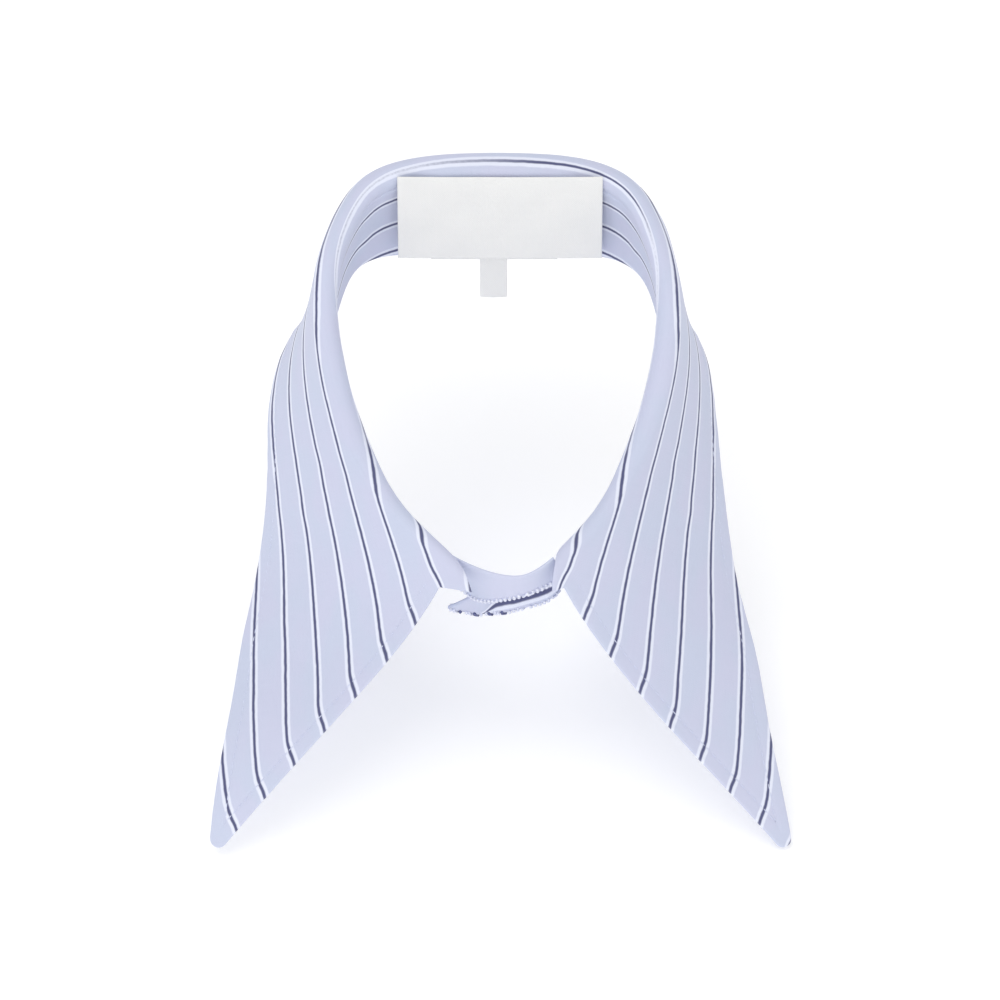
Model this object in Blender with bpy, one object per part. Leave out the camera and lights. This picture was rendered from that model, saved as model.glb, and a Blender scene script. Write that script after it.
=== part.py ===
"""Detachable shirt collar, modelled round the hollow that a neck fills.

Run with: blender --background --python part.py

Every sheet of cloth is drawn on its flat pattern first. "along" runs with the stripes from the centre back,
minus to the wearer's right and plus to the left. "down" runs across them, from the stand's lower edge to
the leaf's. Short tables say how the cloth lies round the neck at stations along it.
The frame: x to the wearer's left, -y to the front, z up, the origin in the middle of the neck.
"""

import math

import bmesh
import bpy
import numpy as np

MM = 0.001
PITCH = 11.7  # from one stripe to the next; "down" is 0 on the stripe at the top of the collar

# Cloth, in millimetres
WALL = 1.5  # shirting, interlining and shirting
SEAM_GAP = 0.3  # between layers
SEAM_STEP = 0.5  # from the leaf's edge to the stand's along the seam

# Where the guide stripe, one pitch down, crosses the centre back
GUIDE_BACK = (0.0, 61.7, 46.5)
GUIDE_END = 290  # how far along it is followed, each way

# How the guide stripe goes round the neck, in degrees: how far it has turned from facing across the back,
# how far it dips below level, and how far the leaf stands out from upright below it.
SHAPE_COLUMNS = ("along", "turn_right", "turn_left", "dip_right", "dip_left", "flare_right", "flare_left")
SHAPE = (
    (0, 0, 0, 0, 0, 27, 27),
    (20, 3.5, 2.5, 2, 4, 28, 30),
    (40, 21.5, 26, 8, 10, 29, 29),
    (60, 60.5, 63, 17, 17, 22, 21),
    (80, 74.5, 76.5, 28, 27.5, 10, 11),
    (100, 94, 93.5, 34.2, 34.7, 11, 10),
    (125, 107, 107, 37, 36.8, 22, 16),
    (150, 108, 107, 37.4, 36.7, 31, 28),
    (175, 108, 106, 37.3, 36.1, 41, 40),
    (200, 99, 99, 27.6, 29.1, 60, 58),
    (225, 93, 96, 16.3, 24.2, 68, 66),
    (250, 98, 96, 28.4, 24.2, 69, 68),
    (290, 105, 98, 41.8, 28.2, 63, 63),
)

# The cut, one row for each station: where the leaf starts to roll over and how tightly, where it is seamed
# to the stand, the stand's lower edge, how far the stand leans out as it leaves the roll and then bends in
# towards the neck by its lower edge, and how far the leaf's lower part tucks in over the shoulder.
CUT_COLUMNS = ("along", "roll", "radius", "seam_right", "seam_left", "hem", "lean", "curl", "tuck")
CUT = (
    (0, 5.2, 3.5, -5.5, -5.5, -38.5, 7, 30, 0),
    (40, 5.3, 3.5, -5.5, -5.5, -38.5, 6, 30, 8),
    (60, 5.5, 3.5, -5.5, -5.5, -36.5, 12, 30, 18),
    (75, 6.5, 3.5, -5.0, -5.0, -34.0, 14, 26, 23),
    (90, 8.8, 3.6, -5.0, -5.0, -32.5, 12, 20, 17),
    (100, 10.2, 3.7, -5.0, -5.0, -31.5, 11, 18, 5),
    (115, 10.6, 3.8, -5.5, -5.5, -31.5, 8, 20, 0),
    (130, 10.0, 3.8, -6.5, -6.5, -32.5, 6, 22, 0),
    (150, 5.5, 3.4, -9.5, -9.5, -34.5, 4, 22, 0),
    (170, -3.0, 2.7, -15.0, -15.0, -37.0, 0, 22, 0),
    (185, -13.0, 2.4, -20.5, -17.5, -40.0, 0, 22, 0),
    (198, -21.0, 2.4, -23.5, -14.5, -44.0, 0, 22, 0),
    (290, -21.0, 2.4, -23.5, -14.5, -44.0, 0, 22, 0),
)

STAND_HEIGHT = 34.0  # over which the stand curls
TUCK_START = 16.0  # where down the leaf it begins to tuck in towards the shoulder
TUCK_LENGTH = 30.0
FLAT = 1e-4  # radians of bend below which cloth is taken as straight
STAND_STATIONS = (-172, -160, -147, -130, -110, -90, -70, -50, -25, 0, 25, 50, 70, 90, 110, 130, 147, 160, 172)

# The stand's two ends past the leaf. The wearer's right end wraps over the left one. Each row is a section:
# across, back and up place its upper edge, lean is how far it tilts back towards its lower edge,
# slant how far that edge lies to the wearer's left, and height its depth along the cloth.
END_COLUMNS = ("across", "back", "up", "lean", "slant", "height")
OVER_END = (
    (18.0, -61.6, -15.8, 14, 2.5, 13.5),
    (13.5, -65.1, -16.9, 14, 1.5, 14.0),
    (8.0, -67.4, -18.2, 14, 0.5, 14.0),
    (0.0, -67.1, -18.2, 14, 0.0, 18.5),
    (-9.0, -63.2, -18.6, 16, 0.0, 25.5),
    (-18.6, -56.3, -19.2, 26, 0.0, 25.0),
)
UNDER_END = (
    (22.5, -53.6, -19.9, 26, 0.0, 26.0),
    (18.0, -58.9, -23.4, 18, 0.0, 28.0),
    (12.0, -61.0, -25.4, 18, 0.0, 28.0),
    (4.0, -62.7, -26.7, 18, 0.0, 28.0),
    (-5.0, -58.4, -35.6, 18, 0.0, 24.0),
    (-12.0, -54.0, -47.3, 18, 0.0, 11.5),
    (-17.8, -51.0, -55.0, 18, 0.0, 1.2),
)

# The leaf on the flat pattern: how far down its outer edge lies at each station, and for each side
EDGE_COLUMNS = ("along", "edge_right", "edge_left")
EDGE = (
    (0, 45.0, 45.0),
    (60, 44.5, 44.5),
    (85, 45.0, 44.5),
    (105, 48.0, 47.5),
    (125, 49.8, 50.0),
    (140, 51.0, 52.0),
    (170, 57.2, 57.5),
    (200, 63.2, 63.6),
    (235, 69.0, 71.0),
    (275, 80.0, 84.0),
)
# where the leaf's front corner and the line of its front edge lie. The strip above the corner
# reaches on ahead to its seam by the lead.
FRONT_COLUMNS = ("side", "corner_along", "corner_down", "line_along", "line_down", "lead")
FRONT = (
    (-1, 198.5, -12.3, 275.0, 76.3, 4.0),
    (1, 196.0, -11.0, 270.5, 78.0, 2.0),
)
FRONT_BOW = 3.2  # how far the front edge bulges forward of its line, down the cloth
KNEE_START = 120.0  # from here on, the foot of the rolled part moves to the level of the front corner
LEAD_START = 14.0  # how far behind the corner the strip above it begins to draw ahead
TIP_RADIUS = 3.0
HALVINGS = 40  # of the span searched for the round's centre

# How finely the sheets are divided
FORE_START = 150.0
BACK_STATIONS = 20
FRONT_STATIONS = 12
POINT_STATIONS = 15
TIP_ANGLES = (10, 30, 48, 62, 75, 85)
LEAF_ROLL_ROWS = 8
LEAF_FLAT_ROWS = 7
STAND_ROWS = 7
STAND_SECTIONS = 90
SHARP_ANGLE = 50.0  # degrees between faces past which their shared edge is drawn sharp

# The woven label inside the back, the strip behind its lower edge and the small tab under it
LABEL_WALL = 1.0
LABEL_BACK = 47.5  # the middle of the label's top edge
LABEL_UP = 52.8
LABEL_LEAN = 9.0  # degrees, its lower edge forward
TUCKED = 3.0  # how far the strip and the tab reach up behind what covers them
LABEL_WIDTH = 69.5
LABEL_HEIGHT = 34.5
STRIP_CENTRE = -2.0
STRIP_WIDTH = 43.0
STRIP_SHOWS = 1.5
TAB_CENTRE = -2.2
TAB_WIDTH = 9.2
TAB_LENGTH = 17.5

SHIRTING = (0.62, 0.67, 0.80)
TAPE = (0.90, 0.90, 0.90)


def spline(xs, ys):
    """A natural cubic through the stations, as a function of along."""
    xs, ys = np.array(xs, float), np.array(ys, float)
    n, h = len(xs), np.diff(xs)
    lhs, rhs = np.eye(n), np.zeros(n)
    for i in range(1, n - 1):
        lhs[i, i - 1 : i + 2] = h[i - 1], 2 * (h[i - 1] + h[i]), h[i]
        rhs[i] = 6 * ((ys[i + 1] - ys[i]) / h[i] - (ys[i] - ys[i - 1]) / h[i - 1])
    bend = np.linalg.solve(lhs, rhs)

    def value(x):
        i = np.clip(np.searchsorted(xs, x) - 1, 0, n - 2)
        a, b = (xs[i + 1] - x) / h[i], (x - xs[i]) / h[i]
        curve = ((a**3 - a) * bend[i] + (b**3 - b) * bend[i + 1]) * h[i] ** 2 / 6
        return a * ys[i] + b * ys[i + 1] + curve

    return value


def both_sides(rows, columns, name, odd=False):
    """One spline over the whole collar from the columns for its two sides. A turn or a dip is odd."""
    right = columns.index(name if name in columns else name + "_right")
    left = columns.index(name if name in columns else name + "_left")
    back = [(-row[0], -row[right] if odd else row[right]) for row in rows[:0:-1]]
    front = [(row[0], row[left]) for row in rows]
    return spline(*zip(*(back + front)))


turn_at = both_sides(SHAPE, SHAPE_COLUMNS, "turn", odd=True)
dip_at = both_sides(SHAPE, SHAPE_COLUMNS, "dip", odd=True)
flare_at = both_sides(SHAPE, SHAPE_COLUMNS, "flare")
roll_at = both_sides(CUT, CUT_COLUMNS, "roll")
radius_at = both_sides(CUT, CUT_COLUMNS, "radius")
seam_at = both_sides(CUT, CUT_COLUMNS, "seam")
hem_at = both_sides(CUT, CUT_COLUMNS, "hem")
lean_at = both_sides(CUT, CUT_COLUMNS, "lean")
curl_at = both_sides(CUT, CUT_COLUMNS, "curl")
tuck_at = both_sides(CUT, CUT_COLUMNS, "tuck")
edge_at = both_sides(EDGE, EDGE_COLUMNS, "edge")


def directions(s):
    """Ahead along the guide stripe, down across it in the upright, and level outward."""
    turn, dip = math.radians(turn_at(s)), math.radians(dip_at(s))
    level = np.array((math.cos(turn), -math.sin(turn), 0.0))
    upright = np.array((0.0, 0.0, 1.0))
    ahead = math.cos(dip) * level - math.sin(dip) * upright
    fall = -math.sin(dip) * level - math.cos(dip) * upright
    return ahead, fall, np.array((math.sin(turn), math.cos(turn), 0.0))


def walk(side):
    """The guide stripe's points, a millimetre apart, from the centre back to one end."""
    points = [np.array(GUIDE_BACK)]
    for i in range(GUIDE_END):
        points.append(points[-1] + side * directions(side * i)[0])
    return points


GUIDE = np.array(walk(-1)[:0:-1] + walk(1))


def across(s):
    """At a station: the middle surface on the guide stripe, and the directions down and out of the leaf."""
    point = np.array([np.interp(s + GUIDE_END, range(len(GUIDE)), GUIDE[:, k]) for k in range(3)])
    _, fall, out = directions(s)
    flare = math.radians(flare_at(s))
    down = math.cos(flare) * fall + math.sin(flare) * out
    outward = -math.sin(flare) * fall + math.cos(flare) * out
    return point, fall, out, flare, down, outward


def cloth_point(s, q):
    """The middle surface at a station, q millimetres down the cloth: leaf, then roll, then stand."""
    point, fall, out, flare, down, outward = across(s)
    roll = roll_at(s)
    base = point + (min(max(q, roll), TUCK_START) - PITCH) * down
    if q > TUCK_START:
        bend = math.radians(tuck_at(s)) / TUCK_LENGTH
        arc = bend * (q - TUCK_START)
        if abs(arc) < FLAT:
            return base + (q - TUCK_START) * down
        return base + (math.sin(arc) * down - (1 - math.cos(arc)) * outward) / bend
    if q >= roll:
        return base
    lean = math.radians(lean_at(s))
    limit = math.pi - (flare - lean)
    radius = radius_at(s)
    arc = min((roll - q) / radius, limit)
    p = base + radius * ((math.cos(arc) - 1) * outward - math.sin(arc) * down)
    rest = (roll - q) - limit * radius
    if rest > 0:
        bend = math.radians(curl_at(s)) / STAND_HEIGHT
        turned = lean - bend * rest
        p = p + (math.sin(lean) - math.sin(turned)) / bend * fall
        p = p + (math.cos(turned) - math.cos(lean)) / bend * out
    return p


def front(side):
    return dict(zip(FRONT_COLUMNS, FRONT[0] if side < 0 else FRONT[1]))


def front_edge(s):
    """How far down the cloth the leaf's front edge lies past its corner."""
    f = front(s)
    part = (abs(s) - f["corner_along"]) / (f["line_along"] - f["corner_along"])
    level = f["corner_down"] + part * (f["line_down"] - f["corner_down"])
    return level - FRONT_BOW * math.sin(math.pi * min(part, 1.0))


def tip_circle(side):
    """The round that touches the front edge and the outer edge: its centre, and where it meets each."""
    low, high = front(side)["corner_along"], front(side)["line_along"] + 10
    for _ in range(HALVINGS):
        middle = 0.5 * (low + high)
        here, on = side * middle, side * (middle + 1)
        front_slope = front_edge(on) - front_edge(here)
        edge_slope = float(edge_at(on) - edge_at(here))
        upper = front_edge(here) + TIP_RADIUS * math.hypot(1, front_slope)
        lower = float(edge_at(here)) - TIP_RADIUS * math.hypot(1, edge_slope)
        low, high = (middle, high) if lower > upper else (low, middle)
    meets_front = middle + TIP_RADIUS * front_slope / math.hypot(1, front_slope)
    meets_edge = middle - TIP_RADIUS * edge_slope / math.hypot(1, edge_slope)
    return middle, upper, meets_front, meets_edge


TIPS = {-1: tip_circle(-1), 1: tip_circle(1)}


def leaf_stations(side):
    """Stations from the centre back to one point, closer at the front corner and round the tip."""
    corner, tip = front(side)["corner_along"], TIPS[side][3]
    back = np.linspace(0, FORE_START, BACK_STATIONS)
    fore = np.linspace(FORE_START, corner, FRONT_STATIONS)[1:]
    point = np.linspace(corner, tip, POINT_STATIONS)[1:]
    end = [TIPS[side][0] + TIP_RADIUS * math.sin(math.radians(angle)) for angle in TIP_ANGLES]
    return [float(s) for s in (*back, *fore, *point, *end)]


def leaf_levels(s):
    """The leaf's upper limit, the level of its front corner or the foot of its roll, and its edge."""
    side = 1 if s > 0 else -1
    corner, corner_down = front(side)["corner_along"], front(side)["corner_down"]
    top, knee, edge = float(seam_at(s)), float(roll_at(s)) + 1.0, float(edge_at(s))
    share = min(1.0, max(0.0, (abs(s) - KNEE_START) / (corner - KNEE_START)))
    knee = max(knee, top + share * (corner_down - top))
    if abs(s) > corner:
        top = knee = front_edge(s)
    along, down, meets_front, meets_edge = TIPS[side]
    half = math.sqrt(max(0.0, TIP_RADIUS**2 - (abs(s) - along) ** 2))
    if abs(s) > meets_front:
        top = knee = down - half
    if abs(s) > meets_edge:
        edge = down + half
    return top, knee, edge


def leaf_column(s):
    """The leaf's points at one station. Past the front corner there are none above the front edge."""
    f = front(s)
    top, knee, edge = leaf_levels(s)
    upper = list(np.linspace(top, knee, LEAF_ROLL_ROWS))[:-1]
    lower = np.linspace(knee, edge, LEAF_FLAT_ROWS)
    past = abs(s) > f["corner_along"] + FLAT
    ahead = f["lead"] * max(0.0, 1 - (f["corner_along"] - abs(s)) / LEAD_START)
    column = []
    for q in upper:
        lead = ahead * (knee - q) / (f["corner_down"] - float(seam_at(s)))
        column.append(None if past else cloth_point(s + math.copysign(lead, s), q))
    return column + [cloth_point(s, q) for q in lower]


def slope(grid, i, j, di, dj):
    """The direction from one grid neighbour to the other, or to the point itself at a limit."""
    def there(a, b):
        return 0 <= a < len(grid) and 0 <= b < len(grid[0]) and grid[a][b] is not None

    ahead = grid[i + di][j + dj] if there(i + di, j + dj) else grid[i][j]
    behind = grid[i - di][j - dj] if there(i - di, j - dj) else grid[i][j]
    return ahead - behind


def sheet(name, grid, wall, colour):
    """A closed sheet of cloth: the grid's points moved half a wall out and half a wall in, joined at the rim."""
    bm = bmesh.new()
    layers = [{}, {}]
    for i, column in enumerate(grid):
        for j, point in enumerate(column):
            if point is None:
                continue
            normal = np.cross(slope(grid, i, j, 1, 0), slope(grid, i, j, 0, 1))
            normal *= 0.5 * wall / np.linalg.norm(normal)
            for layer, offset in zip(layers, (normal, -normal)):
                layer[i, j] = bm.verts.new((point + offset) * MM)
    edges = {}
    for i, j in layers[0]:
        corners = [(i, j), (i + 1, j), (i + 1, j + 1), (i, j + 1)]
        if not all(corner in layers[0] for corner in corners):
            continue
        bm.faces.new([layers[0][corner] for corner in corners])
        bm.faces.new([layers[1][corner] for corner in reversed(corners)])
        for a, b in zip(corners, corners[1:] + corners[:1]):
            edges[a, b] = (b, a) not in edges
            if not edges[a, b]:
                edges[b, a] = False
    for (a, b), on_rim in edges.items():
        if on_rim:
            bm.faces.new([layers[0][b], layers[0][a], layers[1][a], layers[1][b]])
    bmesh.ops.recalc_face_normals(bm, faces=bm.faces)
    mesh = bpy.data.meshes.new(name)
    bm.to_mesh(mesh)
    bm.free()
    mesh.shade_smooth()
    mesh.set_sharp_from_angle(angle=math.radians(SHARP_ANGLE))
    material = bpy.data.materials.new(name)
    material.use_nodes = True
    bsdf = material.node_tree.nodes["Principled BSDF"]
    bsdf.inputs["Base Color"].default_value = (*colour, 1)
    bsdf.inputs["Roughness"].default_value = 0.9
    mesh.materials.append(material)
    obj = bpy.data.objects.new(name, mesh)
    bpy.context.scene.collection.objects.link(obj)
    return obj


def collar_leaf():
    stations = [-s for s in leaf_stations(-1)[:0:-1]] + leaf_stations(1)
    return sheet("collar_leaf", [leaf_column(s) for s in stations], WALL, SHIRTING)


def end_section(row):
    """One section of the stand's overlapping ends, from its upper edge straight down."""
    r = dict(zip(END_COLUMNS, row))
    lean = math.radians(r["lean"])
    top = np.array((r["across"], r["back"], r["up"]))
    drop = np.array((r["slant"], r["height"] * math.sin(lean), -r["height"] * math.cos(lean)))
    return [top + drop * j / (STAND_ROWS - 1) for j in range(STAND_ROWS)]


def stand_section(s):
    """One section of the stand below the leaf's seam."""
    levels = np.linspace(seam_at(s) - SEAM_STEP, hem_at(s), STAND_ROWS)
    return [cloth_point(s, q) for q in levels]


def along_spline(sections, count):
    """Sections evenly spaced along a smooth path through the given ones."""
    sections = np.array(sections)
    steps = np.linalg.norm(np.diff(sections[:, 0], axis=0), axis=1)
    steps += np.linalg.norm(np.diff(sections[:, -1], axis=0), axis=1)
    places = np.concatenate([[0], np.cumsum(steps)])
    wanted = np.linspace(0, places[-1], count)
    smooth = [[spline(places, sections[:, j, k]) for k in range(3)] for j in range(STAND_ROWS)]
    return [[np.array([axis(x) for axis in row]) for row in smooth] for x in wanted]


def collar_stand():
    over = [end_section(row) for row in OVER_END]
    under = [end_section(row) for row in UNDER_END]
    middle = [stand_section(s) for s in STAND_STATIONS]
    sections = along_spline(over + middle + under, STAND_SECTIONS)
    return sheet("collar_stand", sections, WALL, SHIRTING)


def label_plane():
    """The middle of the label's top edge and the directions along it, down it and behind it."""
    lean = math.radians(LABEL_LEAN)
    middle = np.array((0.0, LABEL_BACK, LABEL_UP))
    level = np.array((1.0, 0.0, 0.0))
    drop = np.array((0.0, -math.sin(lean), -math.cos(lean)))
    back = np.array((0.0, math.cos(lean), -math.sin(lean)))
    return middle, level, drop, back


def flat_piece(name, centre, width, top, low, behind, columns=5, rows=4):
    """A rectangle of tape in the label's plane, in millimetres along it, down it and behind it."""
    middle, level, drop, back = label_plane()
    xs = np.linspace(centre - width / 2, centre + width / 2, columns)
    ys = np.linspace(top, low, rows)
    grid = [[middle + level * x + drop * y + back * behind for y in ys] for x in xs]
    return sheet(name, grid, LABEL_WALL, TAPE)


def label():
    return flat_piece("label", 0.0, LABEL_WIDTH, 0.0, LABEL_HEIGHT, 0.0)


def label_strip():
    layer = LABEL_WALL + SEAM_GAP
    low = LABEL_HEIGHT + STRIP_SHOWS
    return flat_piece("label_strip", STRIP_CENTRE, STRIP_WIDTH, LABEL_HEIGHT - TUCKED, low, layer)


def label_tab():
    layer = 2 * (LABEL_WALL + SEAM_GAP)
    low = LABEL_HEIGHT + STRIP_SHOWS + TAB_LENGTH
    return flat_piece("label_tab", TAB_CENTRE, TAB_WIDTH, LABEL_HEIGHT - TUCKED, low, layer)


def clear_scene():
    for obj in list(bpy.data.objects):
        bpy.data.objects.remove(obj)


clear_scene()
collar_leaf()
collar_stand()
label()
label_strip()
label_tab()
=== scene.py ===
# A detachable shirt collar in striped shirting, filled out as if worn, with a bare woven label inside the
# back. The cloth is laid out on its flat pattern, in millimetres: "along" runs with the stripes from the
# centre back, plus to the wearer's left, and "down" runs across them, from the stand's lower edge to the
# leaf's.
# The frame: x to the wearer's left, -y to the front, z up, the origin in the middle of the neck.

import math

import bpy
import numpy as np
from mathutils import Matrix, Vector, noise
from mathutils.kdtree import KDTree


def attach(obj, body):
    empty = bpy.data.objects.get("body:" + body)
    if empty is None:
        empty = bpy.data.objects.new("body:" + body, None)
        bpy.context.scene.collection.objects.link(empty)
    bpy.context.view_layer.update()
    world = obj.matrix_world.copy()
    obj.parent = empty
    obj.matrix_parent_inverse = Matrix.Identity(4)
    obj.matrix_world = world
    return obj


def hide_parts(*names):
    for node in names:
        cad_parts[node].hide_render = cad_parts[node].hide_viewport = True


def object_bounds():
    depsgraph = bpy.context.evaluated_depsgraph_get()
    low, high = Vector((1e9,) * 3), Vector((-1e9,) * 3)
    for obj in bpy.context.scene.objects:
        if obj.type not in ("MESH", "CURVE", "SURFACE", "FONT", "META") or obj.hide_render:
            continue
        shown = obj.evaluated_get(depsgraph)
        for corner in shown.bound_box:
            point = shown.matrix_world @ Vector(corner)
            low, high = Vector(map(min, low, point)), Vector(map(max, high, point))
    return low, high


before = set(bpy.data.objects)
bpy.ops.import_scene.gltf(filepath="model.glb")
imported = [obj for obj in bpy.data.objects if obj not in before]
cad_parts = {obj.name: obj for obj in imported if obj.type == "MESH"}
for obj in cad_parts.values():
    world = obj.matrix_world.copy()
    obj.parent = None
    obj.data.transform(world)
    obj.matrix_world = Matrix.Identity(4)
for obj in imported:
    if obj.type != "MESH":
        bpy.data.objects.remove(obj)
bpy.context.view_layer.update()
mm = 0.001
tiny = 1e-6


def smooth(share):
    share = np.clip(share, 0.0, 1.0)
    return share * share * (3 - 2 * share)


def ripple(along, down, size, seed):
    # soft noise from -1 to 1 over the flat cloth, its waves about size millimetres long
    spots = zip(np.ravel(along) / size, np.ravel(down) / size)
    values = [noise.noise(Vector((a, d, seed))) for a, d in spots]
    return np.reshape(values, np.shape(along))


# How the cloth lies round the neck
shirting = {
    "pitch": 11.7,  # from one stripe to the next; "down" is 0 on the stripe at the top of the collar
    "wall": 1.5,  # shirting, interlining and shirting
    "seamStep": 0.5,  # from the leaf's edge to the stand's
    "seamTuck": 2.4,  # how far the leaf's seam allowance reaches in between the stand's two layers
    "rim": 0.95,  # how far in from a turned edge the wall is rounded
    "guideBack": (0.0, 61.7, 46.5),  # where the guide stripe, one pitch down, crosses the centre back
    "guideEnd": 290,
    "standHeight": 34.0,  # over which the stand curls
    "tuckStart": 16.0,  # where down the leaf it begins to tuck in towards the shoulder
    "tuckLength": 30.0,
    "labelPull": 2.4,  # how far the cloth is drawn in behind the label's top edge
}

# How the guide stripe goes round the neck, in degrees: how far it has turned from facing across the back,
# how far it dips below level, and how far the leaf stands out from upright below it.
shapeColumns = ("along", "turnRight", "turnLeft", "dipRight", "dipLeft", "flareRight", "flareLeft")
shapeRows = (
    (0, 0, 0, 0, 0, 27, 27),
    (20, 3.5, 2.5, 2, 4, 28, 30),
    (40, 21.5, 26, 8, 10, 29, 29),
    (60, 60.5, 63, 17, 17, 22, 21),
    (80, 74.5, 76.5, 28, 27.5, 10, 11),
    (100, 94, 93.5, 34.2, 34.7, 11, 10),
    (125, 107, 107, 37, 36.8, 22, 16),
    (150, 108, 107, 37.4, 36.7, 31, 28),
    (175, 108, 106, 37.3, 36.1, 41, 40),
    (200, 99, 99, 27.6, 29.1, 60, 58),
    (225, 93, 96, 16.3, 24.2, 68, 66),
    (250, 98, 96, 28.4, 24.2, 69, 68),
    (290, 105, 98, 41.8, 28.2, 63, 63),
)

# Where the leaf starts to roll over and how tightly, where it is seamed to the stand, the stand's lower
# edge, how far the stand leans out as it leaves the roll and then bends in, and how far the leaf's lower
# part tucks in.
cutColumns = ("along", "roll", "radius", "seamRight", "seamLeft", "hem", "lean", "curl", "tuck")
cutRows = (
    (0, 5.2, 3.5, -5.5, -5.5, -38.5, 7, 30, 0),
    (40, 5.3, 3.5, -5.5, -5.5, -38.5, 6, 30, 8),
    (60, 5.5, 3.5, -5.5, -5.5, -36.5, 12, 30, 18),
    (75, 6.5, 3.5, -5.0, -5.0, -34.0, 14, 26, 23),
    (90, 8.8, 3.6, -5.0, -5.0, -32.5, 12, 20, 17),
    (100, 10.2, 3.7, -5.0, -5.0, -31.5, 11, 18, 5),
    (115, 10.6, 3.8, -5.5, -5.5, -31.5, 8, 20, 0),
    (130, 10.0, 3.8, -6.5, -6.5, -32.5, 6, 22, 0),
    (150, 5.5, 3.4, -9.5, -9.5, -34.5, 4, 22, 0),
    (170, -3.0, 2.7, -15.0, -15.0, -37.0, 0, 22, 0),
    (185, -13.0, 2.4, -20.5, -17.5, -40.0, 0, 22, 0),
    (198, -21.0, 2.4, -23.5, -14.5, -44.0, 0, 22, 0),
    (290, -21.0, 2.4, -23.5, -14.5, -44.0, 0, 22, 0),
)

edgeColumns = ("along", "edgeRight", "edgeLeft")  # the leaf's outer edge
edgeRows = (
    (0, 45.0, 45.0),
    (60, 44.5, 44.5),
    (85, 45.0, 44.5),
    (105, 48.0, 47.5),
    (125, 49.8, 50.0),
    (140, 51.0, 52.0),
    (170, 57.2, 57.5),
    (200, 63.2, 63.6),
    (235, 69.0, 71.0),
    (275, 80.0, 84.0),
)


def spline(xs, ys):
    # a natural cubic through the stations, as a function of one value or of many
    xs, ys = np.array(xs, float), np.array(ys, float)
    n, h = len(xs), np.diff(xs)
    lhs, rhs = np.eye(n), np.zeros(n)
    for i in range(1, n - 1):
        lhs[i, i - 1 : i + 2] = h[i - 1], 2 * (h[i - 1] + h[i]), h[i]
        rhs[i] = 6 * ((ys[i + 1] - ys[i]) / h[i] - (ys[i] - ys[i - 1]) / h[i - 1])
    bend = np.linalg.solve(lhs, rhs)

    def value(x):
        i = np.clip(np.searchsorted(xs, x) - 1, 0, n - 2)
        a, b = (xs[i + 1] - x) / h[i], (x - xs[i]) / h[i]
        curve = ((a**3 - a) * bend[i] + (b**3 - b) * bend[i + 1]) * h[i] ** 2 / 6
        return a * ys[i] + b * ys[i + 1] + curve

    return value


def bothSides(rows, columns, name, odd=False):
    # one spline over the whole collar from the columns for its two sides; a turn or a dip is odd
    right = columns.index(name if name in columns else name + "Right")
    left = columns.index(name if name in columns else name + "Left")
    back = [(-row[0], -row[right] if odd else row[right]) for row in rows[:0:-1]]
    front = [(row[0], row[left]) for row in rows]
    return spline(*zip(*(back + front)))


at = {name: bothSides(shapeRows, shapeColumns, name, odd=True) for name in ("turn", "dip")}
at["flare"] = bothSides(shapeRows, shapeColumns, "flare")
at["edge"] = bothSides(edgeRows, edgeColumns, "edge")
for name in ("roll", "radius", "seam", "hem", "lean", "curl", "tuck"):
    at[name] = bothSides(cutRows, cutColumns, name)


def directions(s):
    # ahead along the guide stripe, down across it in the upright, and level outward
    turn, dip = math.radians(at["turn"](s)), math.radians(at["dip"](s))
    level = np.array((math.cos(turn), -math.sin(turn), 0.0))
    upright = np.array((0.0, 0.0, 1.0))
    ahead = math.cos(dip) * level - math.sin(dip) * upright
    fall = -math.sin(dip) * level - math.cos(dip) * upright
    return ahead, fall, np.array((math.sin(turn), math.cos(turn), 0.0))


def walk(side):
    points = [np.array(shirting["guideBack"])]
    for i in range(shirting["guideEnd"]):
        points.append(points[-1] + side * directions(side * i)[0])
    return points


guide = np.array(walk(-1)[:0:-1] + walk(1))
guideStations = np.arange(len(guide)) - shirting["guideEnd"]


def clothColumn(s, downs):
    # the cloth's middle surface at one station, at several levels down it: leaf, then roll, then stand
    q = np.atleast_1d(np.asarray(downs, float))[:, None]
    point = np.array([np.interp(s, guideStations, guide[:, k]) for k in range(3)])
    _, fall, out = directions(s)
    flare, lean = math.radians(at["flare"](s)), math.radians(at["lean"](s))
    down = math.cos(flare) * fall + math.sin(flare) * out
    outward = -math.sin(flare) * fall + math.cos(flare) * out
    roll, radius, limit = at["roll"](s), at["radius"](s), math.pi - (flare - lean)
    base = point + (np.clip(q, roll, shirting["tuckStart"]) - shirting["pitch"]) * down
    tuck = max(math.radians(at["tuck"](s)) / shirting["tuckLength"], tiny)
    arc = tuck * np.maximum(q - shirting["tuckStart"], 0)
    base = base + (np.sin(arc) * down - (1 - np.cos(arc)) * outward) / tuck
    above = np.maximum(roll - q, 0)
    arc = np.minimum(above / radius, limit)
    base = base + radius * ((np.cos(arc) - 1) * outward - np.sin(arc) * down)
    curl = math.radians(at["curl"](s)) / shirting["standHeight"]
    turned = lean - curl * np.maximum(above - limit * radius, 0)
    return base + ((math.sin(lean) - np.sin(turned)) * fall + (np.cos(turned) - math.cos(lean)) * out) / curl


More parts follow.
